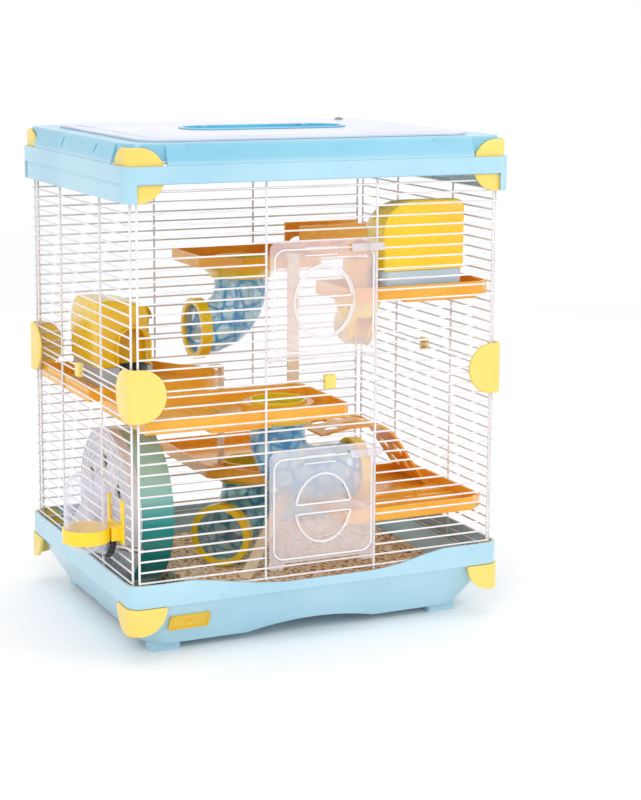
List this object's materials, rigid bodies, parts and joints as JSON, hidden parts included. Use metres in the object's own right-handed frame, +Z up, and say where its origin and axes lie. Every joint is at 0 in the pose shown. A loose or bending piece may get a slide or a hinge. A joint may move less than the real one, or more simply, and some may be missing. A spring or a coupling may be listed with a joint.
{
  "type": "hamster cage",
  "caption": "Two-storey wire small-animal cage with a deep tray, clip-on lid, hinged doors, platforms, elbow tubes, exercise wheel, huts, ladders and a side-hung bottle.",
  "frame": {"origin": "centre of the footprint, on the surface the cage stands on", "axes": "+X to the right seen from the front, +Y to the back, +Z up; the doors are at -Y"},
  "size_m": [0.4788, 0.3446, 0.527],
  "materials": {
    "light_blue_plastic": "gloss moulded plastic, light blue",
    "yellow_plastic": "gloss moulded plastic, yellow",
    "deep_yellow_plastic": "gloss moulded plastic, deep yellow",
    "orange_plastic": "gloss moulded plastic, orange",
    "white_wire": "white coated steel wire",
    "frosted_plastic": "frosted translucent plastic",
    "roof_plastic": "pale translucent plastic",
    "white_plastic": "white plastic",
    "teal_clear_plastic": "translucent teal plastic",
    "blue_clear_plastic": "translucent blue plastic",
    "wheel_white_plastic": "translucent white plastic",
    "grey_blue_plastic": "matt plastic, grey blue",
    "beige_plastic": "matt plastic, pale wood colour",
    "grey_plastic": "matt plastic, grey",
    "clear_plastic": "clear plastic",
    "black_plastic": "matt plastic, black",
    "steel": "stainless steel",
    "wood_granules": "loose wood granules"
  },
  "bodies": {
    "tray_body": {"tray": "light_blue_plastic", "bedding": "wood_granules", "name_plate": "yellow_plastic", "tray_clips": "yellow_plastic"},
    "clip_fl_body": {"clip_fl": "yellow_plastic"},
    "clip_fr_body": {"clip_fr": "yellow_plastic"},
    "clip_bl_body": {"clip_bl": "yellow_plastic"},
    "clip_br_body": {"clip_br": "yellow_plastic"},
    "lid_body": {"lid": "light_blue_plastic", "lid_clips": "yellow_plastic", "roof_panel": "roof_plastic", "handle_cup": "light_blue_plastic", "lid_latch": "grey_plastic"},
    "handle_body": {"carry_handle": "light_blue_plastic"},
    "upper_door_body": {"upper_door": "frosted_plastic"},
    "upper_latch_body": {"upper_latch": "white_plastic"},
    "lower_door_body": {"lower_door": "frosted_plastic"},
    "lower_latch_body": {"lower_latch": "white_plastic"},
    "wheel_body": {"wheel_drum": "teal_clear_plastic", "wheel_cover": "wheel_white_plastic"},
    "left_hut_body": {"left_hut_roof": "deep_yellow_plastic"},
    "right_hut_body": {"right_hut_roof": "deep_yellow_plastic"},
    "bottle_body": {"bottle": "clear_plastic", "bottle_cap": "black_plastic", "sipper_tube": "steel", "bottle_holder": "deep_yellow_plastic"},
    "cage_body": {"lower_front": "white_wire", "lower_back": "white_wire", "lower_left": "white_wire", "lower_right": "white_wire", "upper_front": "white_wire", "upper_back": "white_wire", "upper_left": "white_wire", "upper_right": "white_wire", "seam_clips": "yellow_plastic", "wheel_stand": "white_plastic", "left_shelf": "orange_plastic", "left_hut_base": "grey_blue_plastic", "middle_platform": "orange_plastic", "middle_ring": "deep_yellow_plastic", "right_shelf": "orange_plastic", "right_hut_base": "grey_blue_plastic", "shelf_funnel": "deep_yellow_plastic", "top_platform": "orange_plastic", "top_ring": "deep_yellow_plastic", "top_bridge": "orange_plastic", "back_platform": "orange_plastic", "back_ring": "deep_yellow_plastic", "low_platform": "orange_plastic", "low_bridge": "orange_plastic", "tube_top": "blue_clear_plastic", "tube_top_ring": "deep_yellow_plastic", "tube_middle": "blue_clear_plastic", "tube_middle_ring": "deep_yellow_plastic", "tube_low": "blue_clear_plastic", "tube_low_ring": "deep_yellow_plastic", "ladder_top": "beige_plastic", "ladder_middle": "beige_plastic", "ladder_low": "beige_plastic"}
  },
  "joints": [
    {"name": "cage_lift", "type": "slide", "parent": "tray_body", "child": "cage_body", "axis": [0, 0, 1], "range_m": [0, 0.15]},
    {"name": "lid_lift", "type": "slide", "parent": "cage_body", "child": "lid_body", "axis": [0, 0, 1], "range_m": [0, 0.1]},
    {"name": "handle_fold", "type": "hinge", "parent": "lid_body", "child": "handle_body", "pos_m": [0.02465, 0.01345, 0.5205], "axis": [-1, 0, 0], "range_deg": [0, 90]},
    {"name": "upper_door_hinge", "type": "hinge", "parent": "cage_body", "child": "upper_door_body", "pos_m": [0.02465, -0.16255, 0.298], "axis": [1, 0, 0], "range_deg": [0, 110]},
    {"name": "upper_latch_slide", "type": "slide", "parent": "upper_door_body", "child": "upper_latch_body", "axis": [-1, 0, 0], "range_m": [0, 0.008]},
    {"name": "lower_door_hinge", "type": "hinge", "parent": "cage_body", "child": "lower_door_body", "pos_m": [0.02465, -0.16255, 0.083], "axis": [1, 0, 0], "range_deg": [0, 110]},
    {"name": "lower_latch_slide", "type": "slide", "parent": "lower_door_body", "child": "lower_latch_body", "axis": [-1, 0, 0], "range_m": [0, 0.008]},
    {"name": "wheel_spin", "type": "hinge", "parent": "cage_body", "child": "wheel_body", "pos_m": [-0.14535, 0.02845, 0.115], "axis": [1, 0, 0], "continuous": true},
    {"name": "bottle_pull", "type": "slide", "parent": "cage_body", "child": "bottle_body", "axis": [-0.9563, 0, 0.2924], "range_m": [0, 0.06]},
    {"name": "left_hut_lift", "type": "slide", "parent": "cage_body", "child": "left_hut_body", "axis": [0, 0, 1], "range_m": [0, 0.06]},
    {"name": "right_hut_lift", "type": "slide", "parent": "cage_body", "child": "right_hut_body", "axis": [0, 0, 1], "range_m": [0, 0.045]},
    {"name": "clip_fl_unsnap", "type": "slide", "parent": "cage_body", "child": "clip_fl_body", "axis": [-0.7071, -0.7071, 0], "range_m": [0, 0.012]},
    {"name": "clip_fr_unsnap", "type": "slide", "parent": "cage_body", "child": "clip_fr_body", "axis": [0.7071, -0.7071, 0], "range_m": [0, 0.012]},
    {"name": "clip_bl_unsnap", "type": "slide", "parent": "cage_body", "child": "clip_bl_body", "axis": [-0.7071, 0.7071, 0], "range_m": [0, 0.012]},
    {"name": "clip_br_unsnap", "type": "slide", "parent": "cage_body", "child": "clip_br_body", "axis": [0.7071, 0.7071, 0], "range_m": [0, 0.012]}
  ]
}
